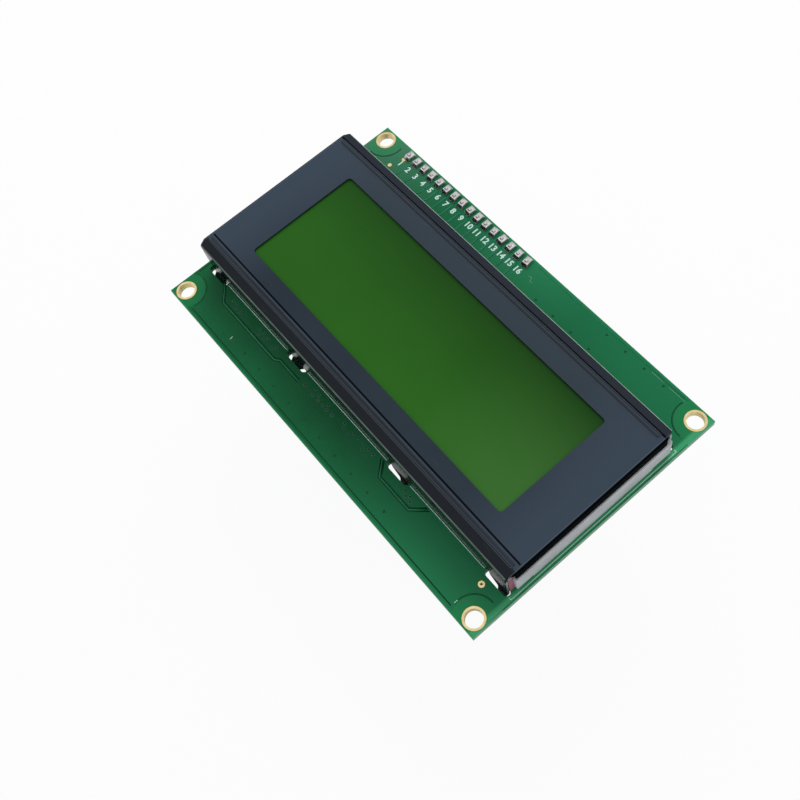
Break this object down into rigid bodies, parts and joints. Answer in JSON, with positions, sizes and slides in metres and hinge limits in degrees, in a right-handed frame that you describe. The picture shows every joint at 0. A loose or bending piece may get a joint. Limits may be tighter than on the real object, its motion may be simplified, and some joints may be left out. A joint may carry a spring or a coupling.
{
  "type": "character lcd module",
  "caption": "Flat character display on a green board, with a black steel bezel and a small bus adapter soldered behind it.",
  "frame": {"origin": "centre of the four mounting holes, on the front face of the main board", "axes": "+X along the rows of characters, +Y towards the pin header's edge, +Z out of the display"},
  "size_m": [0.098, 0.06, 0.02],
  "materials": {
    "board_green": "solder mask over glass epoxy",
    "adapter_black": "black solder mask over glass epoxy",
    "gold_plate": "gold plated copper",
    "black_steel": "black coated sheet steel",
    "lcd_film": "yellow green display film",
    "cell_glass": "clear glass",
    "zebra_rubber": "pink and black layered rubber",
    "housing_grey": "pale grey moulding",
    "guide_clear": "clear acrylic",
    "film_white": "white film",
    "lamp_white": "lamp package",
    "tin": "tinned metal",
    "solder": "bright solder",
    "epoxy_black": "black epoxy",
    "chip_black": "moulded black epoxy",
    "header_plastic": "black moulding",
    "trimmer_blue": "blue moulding",
    "rotor_grey": "dark moulding",
    "capacitor_tan": "tan ceramic",
    "spring_brass": "spring strip"
  },
  "bodies": {
    "module": {"main_board": "board_green", "mounting_rings": "gold_plate", "slot_pads": "gold_plate", "bezel": "black_steel", "front_polariser": "lcd_film", "front_glass": "cell_glass", "rear_glass": "cell_glass", "rear_polariser": "lcd_film", "zebra_strip_south": "zebra_rubber", "zebra_strip_north": "zebra_rubber", "backlight_housing": "housing_grey", "reflector_film": "film_white", "light_guide": "guide_clear", "diffuser_film": "film_white", "led_strip_board": "film_white", "backlight_leds": "lamp_white", "backlight_terminals": "tin", "terminal_solder": "solder", "epoxy_blobs": "epoxy_black", "board_resistors": "chip_black", "board_resistor_solder": "solder", "bare_pads": "gold_plate", "header_strip": "header_plastic", "header_pins": "tin", "header_solder_front": "solder", "header_solder_back": "solder", "adapter_board": "adapter_black", "expander_chip": "chip_black", "expander_leads": "tin", "trimmer_body": "trimmer_blue", "trimmer_pins": "tin", "bus_header_strip": "header_plastic", "bus_pins": "tin", "jumper_header_strip": "header_plastic", "jumper_pins": "tin", "adapter_resistors": "chip_black", "adapter_capacitor": "capacitor_tan", "power_led": "lamp_white", "adapter_solder": "solder", "option_pads": "tin"},
    "contrast_rotor": {"trimmer_rotor": "rotor_grey"},
    "jumper": {"jumper_cap": "header_plastic", "jumper_clip": "spring_brass"}
  },
  "joints": [
    {"name": "contrast_turn", "type": "hinge", "parent": "module", "child": "contrast_rotor", "pos_m": [-0.031, 0.0213, -0.01044], "axis": [0, 0, -1], "range_deg": [-105, 105]},
    {"name": "jumper_pull", "type": "slide", "parent": "module", "child": "jumper", "axis": [1, 0, 0], "range_m": [0, 0.0075]}
  ]
}
